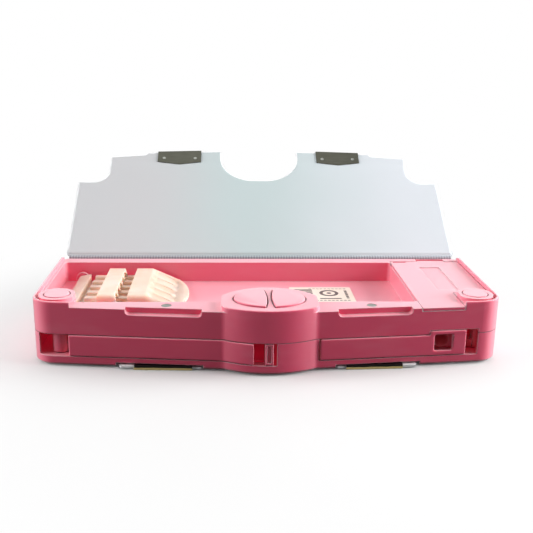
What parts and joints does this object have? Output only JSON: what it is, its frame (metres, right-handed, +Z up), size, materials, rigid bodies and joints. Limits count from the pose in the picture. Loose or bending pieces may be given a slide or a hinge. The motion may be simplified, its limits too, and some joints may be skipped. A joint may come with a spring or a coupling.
{
  "type": "push-button pencil box",
  "caption": "Moulded pencil box with hinged vinyl lids above and below, push buttons, swing-out front drawers, a tilting pencil rack and a flap.",
  "frame": {"origin": "middle of the bottom lid's outer face, which the box stands on", "axes": "+X along the box to the right, +Y to the hinged back, +Z up"},
  "size_m": [0.226, 0.1718, 0.0811],
  "materials": {
    "pink_plastic": "satin moulded polystyrene",
    "cream_plastic": "satin moulded plastic",
    "vinyl": "soft welded vinyl",
    "board": "raw card",
    "clip_steel": "dull plated steel",
    "magnet": "bright nickel",
    "steel": "drawn wire and strip",
    "label": "paper label"
  },
  "bodies": {
    "case": {"upper_case": "pink_plastic", "lower_case": "pink_plastic", "button_carrier": "pink_plastic", "well_caps": "pink_plastic", "back_spine": "vinyl", "name_label": "label", "top_magnets": "magnet", "bottom_magnets": "magnet", "left_drawer_pin": "steel", "right_drawer_pin": "steel", "rack_pin": "steel", "flap_pin": "steel", "left_drawer_spring": "steel", "right_drawer_spring": "steel", "rack_button_spring": "steel", "flap_button_spring": "steel"},
    "left_drawer": {"left_drawer": "pink_plastic"},
    "right_drawer": {"right_drawer": "pink_plastic", "sharpener_body": "pink_plastic", "sharpener_blade": "steel", "blade_screw": "steel"},
    "left_drawer_button": {"left_drawer_button": "pink_plastic"},
    "right_drawer_button": {"right_drawer_button": "pink_plastic"},
    "rack_button": {"rack_button": "pink_plastic"},
    "flap_button": {"flap_button": "pink_plastic"},
    "front_slider": {"front_slider": "pink_plastic"},
    "pencil_rack": {"pencil_rack": "cream_plastic"},
    "flap": {"flap": "pink_plastic"},
    "top_lid": {"top_lid_cover": "vinyl", "top_lid_board": "board", "top_lid_clips": "clip_steel"},
    "bottom_lid": {"bottom_lid_cover": "vinyl", "bottom_lid_board": "board", "bottom_lid_clips": "clip_steel"}
  },
  "joints": [
    {"name": "top_lid_hinge", "type": "hinge", "parent": "case", "child": "top_lid", "pos_m": [0, 0.0455, 0.0302], "axis": [-1, 0, 0], "range_deg": [-145, 35]},
    {"name": "bottom_lid_hinge", "type": "hinge", "parent": "case", "child": "bottom_lid", "pos_m": [0, 0.0455, 0.0018], "axis": [1, 0, 0], "range_deg": [0, 150]},
    {"name": "left_drawer_pivot", "type": "hinge", "parent": "case", "child": "left_drawer", "pos_m": [-0.1, -0.032, 0.0107], "axis": [0, 0, -1], "range_deg": [0, 70]},
    {"name": "right_drawer_pivot", "type": "hinge", "parent": "case", "child": "right_drawer", "pos_m": [0.1035, -0.0295, 0.0107], "axis": [0, 0, 1], "range_deg": [0, 40]},
    {"name": "rack_pivot", "type": "hinge", "parent": "case", "child": "pencil_rack", "pos_m": [-0.1005, 0.009, 0.021], "axis": [0, -1, 0], "range_deg": [0, 35]},
    {"name": "flap_pivot", "type": "hinge", "parent": "case", "child": "flap", "pos_m": [0.09625, 0.0403, 0.0278], "axis": [-1, 0, 0], "range_deg": [0, 80]},
    {"name": "left_drawer_press", "type": "slide", "parent": "case", "child": "left_drawer_button", "axis": [0, 0, -1], "range_m": [0, 0.002], "stiffness_N_per_m": 300, "springref_m": -0.001, "deforming": ["left_drawer_spring"]},
    {"name": "right_drawer_press", "type": "slide", "parent": "case", "child": "right_drawer_button", "axis": [0, 0, -1], "range_m": [0, 0.002], "stiffness_N_per_m": 300, "springref_m": -0.001, "deforming": ["right_drawer_spring"]},
    {"name": "rack_press", "type": "slide", "parent": "case", "child": "rack_button", "axis": [0, 0, -1], "range_m": [0, 0.0024], "stiffness_N_per_m": 250, "springref_m": -0.001, "deforming": ["rack_button_spring"]},
    {"name": "flap_press", "type": "slide", "parent": "case", "child": "flap_button", "axis": [0, 0, -1], "range_m": [0, 0.0024], "stiffness_N_per_m": 250, "springref_m": -0.001, "deforming": ["flap_button_spring"]},
    {"name": "front_slide", "type": "slide", "parent": "case", "child": "front_slider", "axis": [-1, 0, 0], "range_m": [0, 0.0044]}
  ]
}
